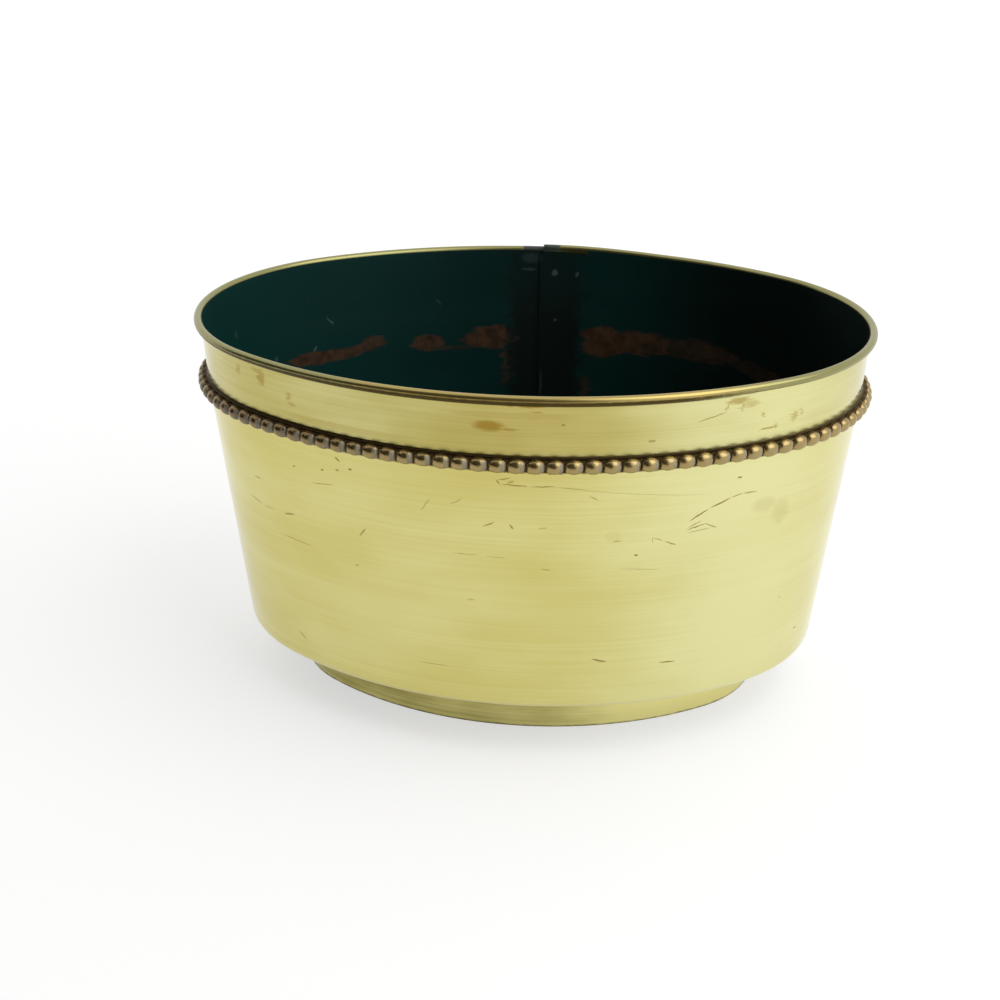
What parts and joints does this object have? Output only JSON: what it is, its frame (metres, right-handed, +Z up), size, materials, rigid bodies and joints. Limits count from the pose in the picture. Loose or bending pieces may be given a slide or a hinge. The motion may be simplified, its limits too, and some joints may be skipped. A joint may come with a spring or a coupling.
{
  "type": "cachepot",
  "caption": "Oval tapered brass cachepot with a wired rim, a soldered beaded strip, a flat base and an inset foot ring, painted dark green inside.",
  "frame": {"origin": "middle of the foot ring's resting face, on the floor", "axes": "+Z up, +X along the pot's length, -Y the front, with the side seam at the back on +Y"},
  "size_m": [0.239, 0.182, 0.1355],
  "materials": {
    "polished_brass": "worn polish, with flaking dark green paint inside",
    "aged_brass": "darkened between the beads",
    "foot_brass": "dull, tarnished",
    "wire_steel": "drawn wire",
    "soft_solder": "dull grey"
  },
  "bodies": {
    "root": {"wall_sheet": "polished_brass", "base_plate": "polished_brass", "beaded_strip": "aged_brass", "foot_ring": "foot_brass", "rim_wire": "wire_steel", "seam_solder": "soft_solder", "strip_solder": "soft_solder", "base_solder": "soft_solder", "foot_solder": "soft_solder"}
  },
  "joints": []
}
